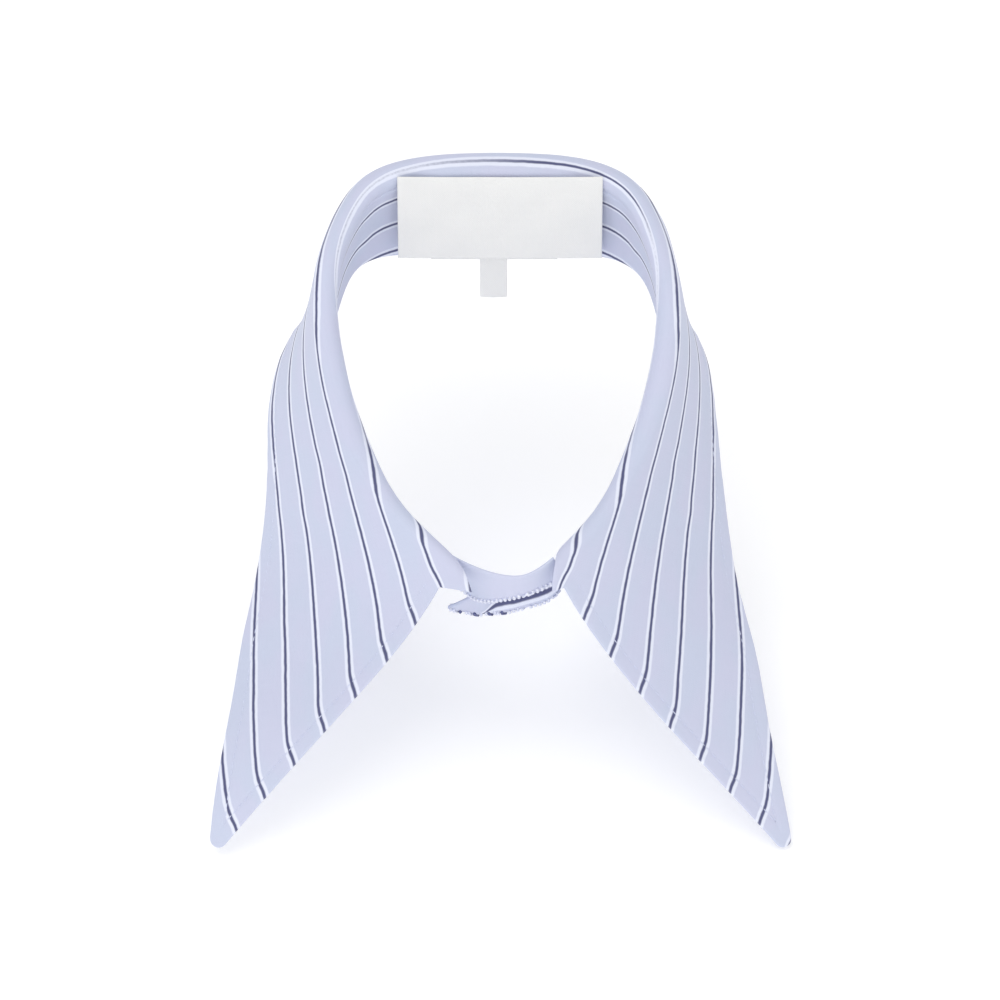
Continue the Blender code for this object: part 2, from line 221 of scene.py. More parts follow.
# The leaf and how it is cut
leaf = {
    "step": 1.5,  # between mesh lines
    "gradedIn": (0.12, 0.38, 0.8),  # extra lines this far in from a turned edge
    "cornerRight": (198.5, -12.3),  # front corner, along and down
    "cornerLeft": (196.0, -11.0),
    "lineRight": (275.0, 76.3),  # a point further on along the front edge
    "lineLeft": (270.5, 78.0),
    "leadRight": 4.0,  # how far the strip above the corner reaches on ahead at its seam
    "leadLeft": 2.0,
    "leadStart": 14.0,
    "frontBow": 3.2,  # how far the front edge bulges forward of its line
    "kneeStart": 120.0,  # from here on, the foot of the rolled part moves to the level of the front corner
    "tipRadius": 3.0,
    "tipAngles": (8, 16, 24, 32, 40, 48, 55, 62, 69, 75, 80, 84, 87),
    "tuckWall": 0.42,  # the seam allowance's share of the full wall, and how far round it reaches
    "tuckUntil": 175,
    "stitchIn": 4.8,  # topstitching, in from the edge
    "stitchSink": 0.2,
    "stitchDip": 0.75,
    "pucker": 0.12,  # along the turned edge
    "puckerReach": 6.0,
    "cockle": ((0.16, 26.0, 3.0), (0.05, 7.0, 8.0)),  # height, size and seed of each soft unevenness
    "hook": 1.7,  # how far the stripes bend at the front edge, and over what width
    "hookReach": 4.5,
}


def sideOf(s):
    return "Right" if s < 0 else "Left"


def frontEdge(s):
    # how far down the cloth the leaf's front edge lies past its corner
    (cornerAlong, cornerDown), (lineAlong, lineDown) = leaf["corner" + sideOf(s)], leaf["line" + sideOf(s)]
    part = (abs(s) - cornerAlong) / (lineAlong - cornerAlong)
    return cornerDown + part * (lineDown - cornerDown) - leaf["frontBow"] * math.sin(math.pi * min(part, 1.0))


def tipCircle(side):
    # the round that touches the front edge and the outer edge: its centre, and where it meets each
    low, high = leaf["corner" + sideOf(side)][0], leaf["line" + sideOf(side)][0] + 10
    radius = leaf["tipRadius"]
    for _ in range(40):  # halvings of the span
        middle = 0.5 * (low + high)
        here, on = side * middle, side * (middle + 1)
        frontSlope = frontEdge(on) - frontEdge(here)
        edgeSlope = float(at["edge"](on) - at["edge"](here))
        upper = frontEdge(here) + radius * math.hypot(1, frontSlope)
        lower = float(at["edge"](here)) - radius * math.hypot(1, edgeSlope)
        low, high = (middle, high) if lower > upper else (low, middle)
    meetsFront = middle + radius * frontSlope / math.hypot(1, frontSlope)
    meetsEdge = middle - radius * edgeSlope / math.hypot(1, edgeSlope)
    return middle, upper, meetsFront, meetsEdge


tips = {"Right": tipCircle(-1), "Left": tipCircle(1)}


def graded(length, step, low=False, high=False):
    # places from 0 to length about a step apart, with closer ones by the turned edges
    places = list(np.linspace(0, length, max(3, round(length / step)) + 1))
    near = [g for g in leaf["gradedIn"] if g < places[1] - 0.2]
    places = places[:1] + (near if low else []) + places[1:]
    return np.array(places[:-1] + ([length - g for g in near[::-1]] if high else []) + places[-1:])


def leafStations(side):
    corner = leaf["corner" + sideOf(side)][0]
    middle, _, _, meetsEdge = tips[sideOf(side)]
    back = graded(corner, leaf["step"], high=True)
    point = corner + graded(meetsEdge - corner, leaf["step"], low=True)[1:]
    end = [middle + leaf["tipRadius"] * math.sin(math.radians(angle)) for angle in leaf["tipAngles"]]
    return [float(s) for s in (*back, *point, *[e for e in end if e > meetsEdge + 0.1])]


def leafLevels(s):
    # the leaf's upper limit, the level of its front corner or the foot of its roll, and its edge
    cornerAlong, cornerDown = leaf["corner" + sideOf(s)]
    seam, edge = float(at["seam"](s)), float(at["edge"](s))
    hidden = shirting["seamTuck"] * float(smooth((172 - abs(s)) / 12))
    top = seam - hidden
    share = min(1.0, max(0.0, (abs(s) - leaf["kneeStart"]) / (cornerAlong - leaf["kneeStart"])))
    knee = max(float(at["roll"](s)) + 1.0, top + share * (cornerDown - top))
    if abs(s) > cornerAlong:
        top = knee = frontEdge(s)
    middle, down, meetsFront, meetsEdge = tips[sideOf(s)]
    half = math.sqrt(max(0.0, leaf["tipRadius"] ** 2 - (abs(s) - middle) ** 2))
    if abs(s) > meetsFront:
        top = knee = down - half
    if abs(s) > meetsEdge:
        edge = down + half
    return top, knee, edge


upperRows = graded(11.5, 1.2, low=True) / 11.5
lowerRows = graded(72.0, leaf["step"], low=True, high=True) / 72.0


def leafPattern():
    # along and down for every crossing of the leaf's mesh lines; none above the front edge past the corner
    stations = [-s for s in leafStations(-1)[:0:-1]] + leafStations(1)
    pattern = np.full((len(stations), len(upperRows) - 1 + len(lowerRows), 2), np.nan)
    for i, s in enumerate(stations):
        cornerAlong, cornerDown = leaf["corner" + sideOf(s)]
        top, knee, edge = leafLevels(s)
        pattern[i, len(upperRows) - 1 :, 0] = s
        pattern[i, len(upperRows) - 1 :, 1] = knee + (edge - knee) * lowerRows
        if abs(s) > cornerAlong + tiny:
            continue
        ahead = leaf["lead" + sideOf(s)] * max(0.0, 1 - (cornerAlong - abs(s)) / leaf["leadStart"])
        levels = top + (knee - top) * upperRows[:-1]
        lead = ahead * (knee - levels) / (cornerDown - float(at["seam"](s)))
        pattern[i, : len(upperRows) - 1, 0] = s + np.copysign(lead, s)
        pattern[i, : len(upperRows) - 1, 1] = levels
    return pattern


def freeEdge(side, step=0.25):
    # the leaf's turned edge on the flat pattern, from its front corner round the tip to the centre back
    name = sideOf(side)
    middle, down, meetsFront, meetsEdge = tips[name]
    radius = leaf["tipRadius"]
    front = np.arange(leaf["corner" + name][0], meetsFront, step)
    angles = np.linspace(math.asin((meetsFront - middle) / radius), math.pi / 2, 12)
    under = np.linspace(math.pi / 2, math.asin((meetsEdge - middle) / radius), 12)
    outer = np.arange(meetsEdge, 0, -step)
    points = [(side * s, frontEdge(side * s)) for s in front]
    points += [(side * (middle + radius * math.sin(a)), down - radius * math.cos(a)) for a in angles]
    points += [(side * (middle + radius * math.sin(a)), down + radius * math.cos(a)) for a in under[1:]]
    return np.array(points + [(side * s, float(at["edge"](side * s))) for s in outer])


def treeOf(points):
    tree = KDTree(len(points))
    for i, (a, d) in enumerate(points):
        tree.insert((a, d, 0), i)
    tree.balance()
    return tree


freeTree = treeOf(np.concatenate([freeEdge(-1), freeEdge(1)]))
frontTree = treeOf(
    [p for side in (-1, 1) for p in freeEdge(side) if p[1] < at["edge"](p[0]) - leaf["tipRadius"]]
)


def inFromEdge(along, down):
    # millimetres in from the leaf's turned edge, over an array
    values = [freeTree.find((a, d, 0))[2] for a, d in zip(np.ravel(along), np.ravel(down))]
    return np.reshape(values, np.shape(along))


# How far the stripe beside the fold has crept up onto the crest at each station
creepColumns = ("along", "creepRight", "creepLeft")
creepRows = (
    (0, 0, 0),
    (15, 0.3, 0.3),
    (30, 2.0, 2.0),
    (45, 5.0, 5.4),
    (60, 6.9, 7.4),
    (72, 7.0, 7.3),
    (85, 6.2, 6.2),
    (95, 4.6, 4.6),
    (105, 2.6, 2.5),
    (120, 0.3, 0.3),
    (135, 0, 0),
    (290, 0, 0),
)

# How much of the navy line at the top of the collar is washed out by painted highlight along the crest
glareColumns = ("along", "lineGlareRight", "lineGlareLeft")
glareRows = (
    (0, 0.25, 0.25),
    (15, 0.55, 0),
    (28, 0.8, 0),
    (55, 0.85, 0),
    (70, 0.8, 0.85),
    (120, 0.8, 0.8),
    (150, 0, 0),
    (290, 0, 0),
)
at["creep"] = bothSides(creepRows, creepColumns, "creep")
at["lineGlare"] = bothSides(glareRows, glareColumns, "lineGlare")


def printedPattern(along, down):
    # where the stripes lie: they creep over the crest, and bend where the front edge is turned
    creep = np.maximum(at["creep"](along), 0)
    over = smooth((down + 1) / 5) * (1 - smooth((down - 8) / 18))
    front = [frontTree.find((a, d, 0))[2] for a, d in zip(np.ravel(along), np.ravel(down))]
    hook = leaf["hook"] * np.exp(-((np.reshape(front, np.shape(along)) / leaf["hookReach"]) ** 2))
    return np.stack([along, down + creep * over + hook], axis=-1)


def paintedLineGlare(along, down):
    # painted highlight: the share of the navy line washed out to white, near the top line only
    return np.clip(at["lineGlare"](along), 0, 1) * smooth((5 - np.abs(down)) / 2)


# Creases pressed into the cloth by wear: where the middle of each lies, how long it is, which way it runs
# (degrees from along, towards down), how wide, and how far it stands up or, below zero, sinks.
creaseColumns = ("along", "down", "length", "angle", "width", "rise")
leafCreases = (
    (-96, 40, 14, 80, 1.6, -0.35),
    (-101, 41, 12, 84, 1.5, 0.3),
    (-107, 42, 13, 86, 1.7, -0.3),
    (93, 39, 12, 98, 1.7, -0.3),
    (100, 41, 13, 95, 1.6, 0.25),
    (-70, 12, 22, 20, 2.4, -0.25),
    (66, 13, 24, -15, 2.6, -0.25),
    (-150, 20, 34, 62, 4.0, -0.35),
    (-163, 34, 30, 70, 3.6, 0.3),
    (146, 22, 32, -60, 4.2, -0.35),
    (160, 36, 28, -70, 3.4, 0.3),
    (-214, 40, 40, 38, 5.0, -0.3),
    (-232, 52, 30, 42, 4.0, 0.25),
    (212, 38, 38, -40, 5.0, -0.3),
    (236, 56, 28, -44, 4.0, 0.25),
    (-22, 34, 26, 82, 3.6, -0.3),
    (26, 32, 24, 98, 3.4, -0.3),
    (-46, 38, 20, 76, 3.0, 0.3),
    (50, 37, 22, 102, 3.0, 0.3),
    (-86, -1.2, 56, 0, 0.8, -0.4),
    (84, -1.2, 56, 0, 0.8, -0.4),
)


def creased(rows, along, down):
    total = np.zeros(np.shape(along))
    for row in rows:
        c = dict(zip(creaseColumns, row))
        angle = math.radians(c["angle"])
        run = (along - c["along"]) * math.cos(angle) + (down - c["down"]) * math.sin(angle)
        off = (down - c["down"]) * math.cos(angle) - (along - c["along"]) * math.sin(angle)
        window = smooth(1.3 - np.abs(run) / (0.5 * c["length"]))
        total += c["rise"] * window * np.exp(-((off / c["width"]) ** 2))
    return total


def cockled(rows, along, down):
    return sum(height * ripple(along, down, size, seed) for height, size, seed in rows)


def labelPull(along, down):
    # behind the label's top edge the cloth is drawn in towards the neck
    across = 1 - smooth((np.abs(along) - 20) / 14)
    return shirting["labelPull"] * across * smooth((-0.5 - down) / 3.5) * (1 - smooth((-down - 8) / 8))


def leafRelief(along, down):
    # how far the cloth stands off its smooth surface: creases, cockling, and the trough the topstitch pulls
    edge = inFromEdge(along, down)
    total = creased(leafCreases, along, down) + cockled(leaf["cockle"], along, down)
    nearEdge = np.exp(-((edge / leaf["puckerReach"]) ** 2))
    total += leaf["pucker"] * ripple(along * 1.6, down, 6.5, 5.0) * nearEdge
    total += labelPull(along, down)
    total -= leaf["stitchSink"] * np.exp(-(((edge - leaf["stitchIn"]) / leaf["stitchDip"]) ** 2))
    return total


def distances(points):
    # how far along a row of points each one lies
    return np.concatenate([[0], np.cumsum(np.linalg.norm(np.diff(points, axis=0), axis=1))])


def slopes(grid, axis):
    ahead, behind = np.roll(grid, -1, axis), np.roll(grid, 1, axis)
    if axis == 0:
        ahead[-1], behind[0] = grid[-1], grid[0]
    else:
        ahead[:, -1], behind[:, 0] = grid[:, -1], grid[:, 0]
    return np.where(np.isnan(ahead), grid, ahead) - np.where(np.isnan(behind), grid, behind)


def unit(vectors):
    return vectors / np.maximum(np.linalg.norm(vectors, axis=-1, keepdims=True), 1e-12)


def normals(grid):
    return unit(np.cross(slopes(grid, 0), slopes(grid, 1)))


def quadsOf(present):
    columns, rows = np.nonzero(present[:-1, :-1] & present[1:, :-1] & present[1:, 1:] & present[:-1, 1:])
    return [((i, j), (i + 1, j), (i + 1, j + 1), (i, j + 1)) for i, j in zip(columns, rows)]


def rimOf(quads):
    # the sides that only one face has
    sides = {pair for corners in quads for pair in zip(corners, corners[1:] + corners[:1])}
    return {pair for pair in sides if pair[::-1] not in sides}


def rounding(pattern, rim, radius):
    # the share of full thickness at each crossing, falling to nothing at the rim along a quarter round
    spots = [pattern[a] + (pattern[b] - pattern[a]) * t for a, b in rim for t in np.linspace(0, 1, 9)]
    tree = treeOf(spots)
    share = np.ones(pattern.shape[:2])
    for i, j in zip(*np.nonzero(~np.isnan(pattern[:, :, 0]))):
        inward = min(1.0, tree.find((*pattern[i, j], 0))[2] / radius)
        share[i, j] = math.sqrt(1 - (1 - inward) ** 2)
    return share


def newObject(name, points, faces, material, layers=()):
    mesh = bpy.data.meshes.new(name)
    mesh.from_pydata([tuple(p) for p in points], [], faces)
    loops = np.empty(len(mesh.loops), np.int32)
    mesh.loops.foreach_get("vertex_index", loops)
    for layerName, values in layers:
        mesh.uv_layers.new(name=layerName).data.foreach_set("uv", np.asarray(values, float)[loops].ravel())
    mesh.shade_smooth()
    mesh.materials.append(material)
    obj = bpy.data.objects.new(name, mesh)
    bpy.context.scene.collection.objects.link(obj)
    return obj


def clothSheet(name, grid, pattern, half, material, rim=None, printed=None, glareShare=None):
    # a closed sheet: the crossings moved out and in by half the wall, meeting in one line at the rim
    present = ~np.isnan(grid[:, :, 0])
    quads = quadsOf(present)
    onRim = rimOf(quads)
    share = rounding(pattern, onRim, rim or shirting["rim"])
    normal = normals(grid) * (share * half)[:, :, None]
    rimSpots = {spot for pair in onRim for spot in pair}
    points, flat, index = [], [], {}
    for spot in sorted({corner for corners in quads for corner in corners}):
        for layer in (0, 1):
            if layer and spot in rimSpots:
                index[spot, 1] = index[spot, 0]
                continue
            index[spot, layer] = len(points)
            offset = 0 if spot in rimSpots else normal[spot] * (1 - 2 * layer)
            points.append((grid[spot] + offset) * mm)
            where = pattern[spot] if printed is None else printed[spot]
            # the first value of the second layer is the painted highlight share over the top navy line, the
            # second how far in from the rim
            flat.append((*where, 0.0 if glareShare is None else glareShare[spot], share[spot]))
    faces = [tuple(index[c, 0] for c in corners) for corners in quads]
    faces += [tuple(index[c, 1] for c in corners[::-1]) for corners in quads]
    flat = np.array(flat)
    return newObject(name, points, faces, material, (("pattern", flat[:, :2]), ("wearAndGlare", flat[:, 2:])))


def cutSize(pattern):
    # how long and how deep the cut is, in millimetres
    return [float(np.nanmax(pattern[:, :, k]) - np.nanmin(pattern[:, :, k])) for k in (0, 1)]


def flatArea(pattern):
    # the cut's area on the flat pattern, in square metres
    total = 0.0
    for corners in quadsOf(~np.isnan(pattern[:, :, 0])):
        a, b, c, d = (pattern[corner] for corner in corners)
        (u, v), (w, z) = c - a, d - b
        total += abs(u * z - v * w) / 2
    return total * mm * mm


def tube(path, radius, sides=6):
    # a run of thread with closed ends, as points and faces
    path = np.asarray(path)
    ahead = unit(np.gradient(path, axis=0))
    across = unit(np.cross(ahead, (0.31, 0.52, 0.8)))  # any way that no thread runs
    third = np.cross(ahead, across)
    points, faces = [], []
    radii = np.full(len(path), radius)
    radii[[0, -1]] = 0.45 * radius
    for centre, u, v, r in zip(path, across, third, radii):
        for k in range(sides):
            turn = 2 * math.pi * k / sides
            points.append(centre + r * (math.cos(turn) * u + math.sin(turn) * v))
    for i in range(len(path) - 1):
        for k in range(sides):
            a, b = i * sides + k, i * sides + (k + 1) % sides
            faces.append((a, b, b + sides, a + sides))
    faces.append(tuple(range(sides))[::-1])
    faces.append(tuple(range((len(path) - 1) * sides, len(path) * sides)))
    return points, faces


def threadPiece(name, runs, radius, material):
    points, faces, flat = [], [], []
    for number, run in enumerate(runs):
        own, ownFaces = tube(run, radius)
        faces += [tuple(len(points) + k for k in face) for face in ownFaces]
        points += [p * mm for p in own]
        flat += [(number * 3.7 + 4.0 * (k // 6) / len(run), k % 6) for k in range(len(own))]
    return newObject(name, points, faces, material, (("pattern", flat),))


def leafFace(s, q, face):
    # a point on the leaf's outer (1) or inner (-1) face and the way that face looks
    reach = 0.6
    centre = clothColumn(s, [q - reach, q, q + reach])
    ahead = clothColumn(s + reach, [q])[0] - clothColumn(s - reach, [q])[0]
    normal = unit(np.cross(ahead, centre[2] - centre[0]))
    rise = float(leafRelief(np.array([s]), np.array([q]))[0])
    return centre[1] + normal * (rise + face * shirting["wall"] / 2), normal * face


def stitchPath(side):
    # the topstitching's line on the flat pattern, from the front corner to the tip and on to the centre back
    edge = freeEdge(side)
    inset = leaf["stitchIn"]
    ahead = unit(np.gradient(edge, axis=0))
    inward = np.stack([-ahead[:, 1], ahead[:, 0]], axis=1) * side
    line = edge + inward * inset
    keep = [freeTree.find((a, d, 0))[2] > inset - 0.12 and abs(a) > 0.4 for a, d in line]
    return line[np.array(keep)]


stitching = {"length": 2.1, "gap": 0.75, "radius": 0.17, "stand": 0.06, "bed": 0.12}


def topstitches():
    # the topstitch shows the same on both faces of the leaf
    runs = []
    for side in (-1, 1):
        line = stitchPath(side)
        places = distances(line)
        pace = stitching["length"] + stitching["gap"]
        for n in range(int((places[-1] - 1.5) / pace)):
            for face in (1, -1):
                start = 1.5 + n * pace + (0 if face > 0 else pace / 2)
                run = []
                for t in np.linspace(0, 1, 5):
                    place = start + t * stitching["length"]
                    s, q = (np.interp(place, places, line[:, k]) for k in (0, 1))
                    point, out = leafFace(float(s), float(q), face)
                    height = stitching["stand"] - stitching["bed"] * (2 * t - 1) ** 2
                    run.append(point + out * height)
                runs.append(np.array(run))
    return runs


# The stand and its two ends
stand = {
    "stations": (0, 25, 50, 70, 90, 110, 130, 147, 160, 172),  # to each side of the centre back
    "rows": 26,
    "step": 1.5,
    "endTop": -25.2,  # the level on the pattern of the two ends' upper edges
    "endEase": 0.55,  # the share of the ends' real depth that the pattern counts, to space the stripes out
    "wrap": 46.0,  # how far along the lower edge from each end the raw cloth is overcast
    "kick": 0.5,  # how far the over end's lower edge stands out
    "hollow": 4.5,  # how deep the under end is pressed in behind it, how far down it, and how wide
    "hollowDown": -34.4,
    "hollowWidth": 2.6,
    "overSqueeze": 0.62,  # how far the stripes are drawn up on the over end, past the level of its lower part
    # the under end's stripes are moved so a navy line lies in the gap, partly as painted shade
    "underShift": 2.2,  # how far they are moved up on the under end
    "cockle": ((0.14, 20.0, 11.0), (0.05, 6.0, 14.0)),
}

# The two ends past the leaf. The wearer's right end wraps over the left one. Each row is a section: across,
# back and up place its upper edge, lean is how far it tilts back towards its lower edge, slant how far that
# edge lies to the wearer's left, and height its depth along the cloth.
endColumns = ("across", "back", "up", "lean", "slant", "height")
overEnd = (
    (18.0, -61.6, -15.8, 14, 2.5, 13.5),
    (13.5, -65.1, -16.9, 14, 1.5, 14.0),
    (8.0, -67.4, -18.2, 14, 0.5, 14.0),
    (0.0, -67.1, -18.2, 14, 0.0, 18.5),
    (-9.0, -63.2, -18.6, 16, 0.0, 25.5),
    (-18.6, -56.3, -19.2, 26, 0.0, 25.0),
)
underEnd = (
    (22.5, -53.6, -19.9, 26, 0.0, 26.0),
    (18.0, -58.9, -23.4, 18, 0.0, 28.0),
    (12.0, -61.0, -25.4, 18, 0.0, 28.0),
    (4.0, -62.7, -26.7, 18, 0.0, 28.0),
    (-5.0, -58.4, -35.6, 18, 0.0, 24.0),
    (-12.0, -54.0, -47.3, 18, 0.0, 11.5),
    (-17.8, -51.0, -55.0, 18, 0.0, 1.2),
)
standShares = graded(34.0, 34.0 / stand["rows"], low=True, high=True) / 34.0


def endSection(row, along):
    r = dict(zip(endColumns, row))
    lean = math.radians(r["lean"])
    top = np.array((r["across"], r["back"], r["up"]))
    drop = np.array((r["slant"], r["height"] * math.sin(lean), -r["height"] * math.cos(lean)))
    levels = stand["endTop"] - stand["endEase"] * r["height"] * standShares
    return [(*(top + drop * t), along, level) for t, level in zip(standShares, levels)]


def standSection(s):
    top, hem = at["seam"](s) - shirting["seamStep"], at["hem"](s)
    levels = top + (hem - top) * standShares
    return [(*point, s, q) for point, q in zip(clothColumn(s, levels), levels)]


def endPlaces(rows, start, way):
    # how far along the pattern each section of an end lies, from the last station under the leaf
    tops = np.array([row[:3] for row in rows])
    if way < 0:
        tops = tops[::-1]
    steps = np.concatenate([[14.0], np.linalg.norm(np.diff(tops, axis=0), axis=1)])
    places = start + way * np.cumsum(steps)
    return places[::-1] if way < 0 else places


def standGrid():
    # sections evenly spaced along a smooth path through the given ones, with each point's place on the
    # pattern. Along is counted on the guide stripe, which goes a quarter further round the back than these.
    stations = [-s for s in stand["stations"][:0:-1]] + list(stand["stations"])
    sections = [endSection(row, a) for row, a in zip(overEnd, endPlaces(overEnd, stations[0], -1))]
    sections += [standSection(s) for s in stations]
    sections += [endSection(row, a) for row, a in zip(underEnd, endPlaces(underEnd, stations[-1], 1))]
    sections = np.array(sections)
    places = distances(sections[:, 0, :3]) + distances(sections[:, -1, :3])
    wanted = graded(places[-1], 2 * stand["step"], low=True, high=True)
    grid = np.empty((len(wanted), len(standShares), 5))
    for j in range(len(standShares)):
        for k in range(5):
            grid[:, j, k] = spline(places, sections[:, j, k])(wanted)
    return grid[:, :, :3], grid[:, :, 3:]


standCreases = (
    (-200, -30, 24, 0, 1.6, 0.35),
    (-188, -33, 30, 8, 1.4, -0.3),
    (-221, -31, 20, -6, 1.5, -0.25),
    (-12.0, 1, 16, 90, 0.5, 0.25),
    (-10.2, 1, 16, 90, 0.5, 0.25),
    (-60, -20, 22, 60, 2.4, -0.3),
    (64, -22, 24, 118, 2.4, -0.3),
    (206, -34, 26, 10, 1.8, -0.3),
    (228, -36, 18, -12, 1.6, 0.3),
)


def standRelief(along, down):
    # the over end's lower edge kicks out, and the under end is hollow behind it
    total = creased(standCreases, along, down) + cockled(stand["cockle"], along, down)
    total += stand["kick"] * smooth((-196 - along) / 6) * smooth((-28.4 - down) / 4.5)
    across = smooth((along - 190) / 6) * smooth((224 - along) / 11)
    total -= stand["hollow"] * across * np.exp(-(((down - stand["hollowDown"]) / stand["hollowWidth"]) ** 2))
    return total - labelPull(along, down)


def newGroup(name, inputs, outputs):
    tree = bpy.data.node_groups.new(name, "ShaderNodeTree")
    for socketName, kind, value in inputs:
        socket = tree.interface.new_socket(name=socketName, in_out="INPUT", socket_type="NodeSocket" + kind)
        if value is not None:
            socket.default_value = value
    for socketName, kind in outputs:
        tree.interface.new_socket(name=socketName, in_out="OUTPUT", socket_type="NodeSocket" + kind)
    return tree, tree.nodes.new("NodeGroupInput").outputs, tree.nodes.new("NodeGroupOutput").inputs


def put(tree, value, socket):
    if isinstance(value, bpy.types.NodeSocket):
        tree.links.new(value, socket)
    else:
        socket.default_value = value


def sums(tree, operation, *values):
    node = tree.nodes.new("ShaderNodeMath")
    node.operation = operation
    for value, socket in zip(values, node.inputs):
        put(tree, value, socket)
    return node.outputs[0]


def stretched(tree, vector, scale):
    node = tree.nodes.new("ShaderNodeVectorMath")
    node.operation = "MULTIPLY"
    tree.links.new(vector, node.inputs[0])
    node.inputs[1].default_value = scale
    return node.outputs[0]


def noisy(tree, vector, scale, detail=2.0, roughness=0.5):
    node = tree.nodes.new("ShaderNodeTexNoise")
    tree.links.new(vector, node.inputs["Vector"])
    node.inputs["Scale"].default_value = scale
    node.inputs["Detail"].default_value = detail
    node.inputs["Roughness"].default_value = roughness
    return node.outputs[0]


def ranged(tree, value, low, high, newLow=0.0, newHigh=1.0):
    node = tree.nodes.new("ShaderNodeMapRange")
    node.interpolation_type = "SMOOTHSTEP"
    for source, socket in zip((value, low, high, newLow, newHigh), node.inputs):
        put(tree, source, socket)
    return node.outputs[0]


def mixed(tree, share, first, second, blend="MIX"):
    node = tree.nodes.new("ShaderNodeMix")
    node.data_type = "RGBA"
    node.blend_type = blend
    for source, socket in zip((share, first, second), (node.inputs[0], node.inputs[6], node.inputs[7])):
        put(tree, source, socket)
    return node.outputs[2]


def weaveGroup():
    # over-and-under threads with a few thick ones; Height is for bump, Shade sets the painted shade that
    # darkens the gaps between threads
    tree, given, out = newGroup(
        "threadWeave",
        (("Pattern", "Vector", None), ("Threads per mm", "Float", 3.2), ("Slub", "Float", 0.5)),
        (("Height", "Float"), ("Shade", "Float")),
    )
    split = tree.nodes.new("ShaderNodeSeparateXYZ")
    tree.links.new(given["Pattern"], split.inputs[0])
    turn = sums(tree, "MULTIPLY", given["Threads per mm"], math.pi)
    warp = sums(tree, "SINE", sums(tree, "MULTIPLY", split.outputs[0], turn))
    weft = sums(tree, "SINE", sums(tree, "MULTIPLY", split.outputs[1], turn))
    crossing = sums(tree, "MULTIPLY_ADD", sums(tree, "MULTIPLY", warp, weft), 0.5, 0.5)
    thickWeft = noisy(tree, stretched(tree, given["Pattern"], (0.12, 2.2, 1.0)), 1.0)
    thickWarp = noisy(tree, stretched(tree, given["Pattern"], (2.2, 0.12, 1.0)), 1.0)
    slub = sums(tree, "MULTIPLY", sums(tree, "ADD", thickWeft, thickWarp), given["Slub"])
    height = sums(tree, "ADD", crossing, slub)
    tree.links.new(height, out["Height"])
    shade = ranged(tree, height, 0.2, 1.5)
    tree.links.new(shade, out["Shade"])
    return tree


def stripeGroup():
    # a navy line between two white ones at every pitch down the cloth, over a ground that drifts in hue
    tree, given, out = newGroup(
        "wovenStripes",
        (
            ("Pattern", "Vector", None),
            ("Pitch", "Float", 11.7),
            ("Band", "Float", 3.0),
            ("Line", "Float", 1.0),
            ("Softness", "Float", 0.25),
            ("Ground", "Color", (1, 1, 1, 1)),
            ("Drift", "Color", (1, 1, 1, 1)),
            ("White", "Color", (1, 1, 1, 1)),
            ("Navy", "Color", (0, 0, 0, 1)),
            ("Faded", "Float", 0.0),
        ),
        (("Color", "Color"),),
    )
    split = tree.nodes.new("ShaderNodeSeparateXYZ")
    tree.links.new(given["Pattern"], split.inputs[0])
    wander = sums(tree, "SUBTRACT", noisy(tree, stretched(tree, given["Pattern"], (0.3, 0.3, 1.0)), 1.0), 0.5)
    down = sums(tree, "MULTIPLY_ADD", wander, 0.35, split.outputs[1])
    count = sums(tree, "DIVIDE", down, given["Pitch"])
    away = sums(tree, "ABSOLUTE", sums(tree, "SUBTRACT", count, sums(tree, "ROUND", count)))
    away = sums(tree, "MULTIPLY", away, given["Pitch"])
    masks = []
    for width in ("Band", "Line"):
        half = sums(tree, "MULTIPLY", given[width], 0.5)
        inner = sums(tree, "SUBTRACT", half, given["Softness"])
        outer = sums(tree, "ADD", half, given["Softness"])
        masks.append(ranged(tree, away, inner, outer, 1.0, 0.0))
    cloud = noisy(tree, stretched(tree, given["Pattern"], (0.045, 0.07, 1.0)), 1.0, 3.0)
    ground = mixed(tree, ranged(tree, cloud, 0.35, 0.65), given["Ground"], given["Drift"])
    striped = mixed(tree, masks[0], ground, given["White"])
    # painted highlight: here the navy line gives way to the white band by the share given
    kept = sums(tree, "MULTIPLY", masks[1], sums(tree, "SUBTRACT", 1.0, given["Faded"]))
    tree.links.new(mixed(tree, kept, striped, given["Navy"]), out["Color"])
    return tree


def edgeGroup():
    # paler cloth along a turned edge, partly rubbing wear and partly painted rim highlight, and the share of
    # the top navy line washed out by painted highlight
    tree, given, out = newGroup(
        "edgeWearAndHighlight",
        (("Wear", "Vector", None), ("Grain", "Vector", None), ("Amount", "Float", 0.5)),
        (("WornAndHighlit", "Float"), ("Faded", "Float")),
    )
    split = tree.nodes.new("ShaderNodeSeparateXYZ")
    tree.links.new(given["Wear"], split.inputs[0])
    # paler near the rim: rubbing wear together with painted rim highlight
    near = ranged(tree, split.outputs[1], 0.35, 1.0, 1.0, 0.0)
    broken = ranged(tree, noisy(tree, given["Grain"], 0.9, 3.0), 0.3, 0.7, 0.35, 1.0)
    wearAndHighlight = sums(tree, "MULTIPLY", sums(tree, "MULTIPLY", near, broken), given["Amount"])
    tree.links.new(wearAndHighlight, out["WornAndHighlit"])
    # the painted highlight share over the top navy line, broken up a little
    patchy = ranged(tree, broken, 0.35, 1.0, 1.0, 0.8)
    tree.links.new(sums(tree, "MULTIPLY", split.outputs[0], patchy), out["Faded"])
    return tree


groups = {"weave": weaveGroup(), "stripes": stripeGroup(), "edge": edgeGroup()}


def place(tree, group, **values):
    node = tree.nodes.new("ShaderNodeGroup")
    node.node_tree = group
    for socketName, value in values.items():
        put(tree, value, node.inputs[socketName.replace("_", " ")])
    return node.outputs


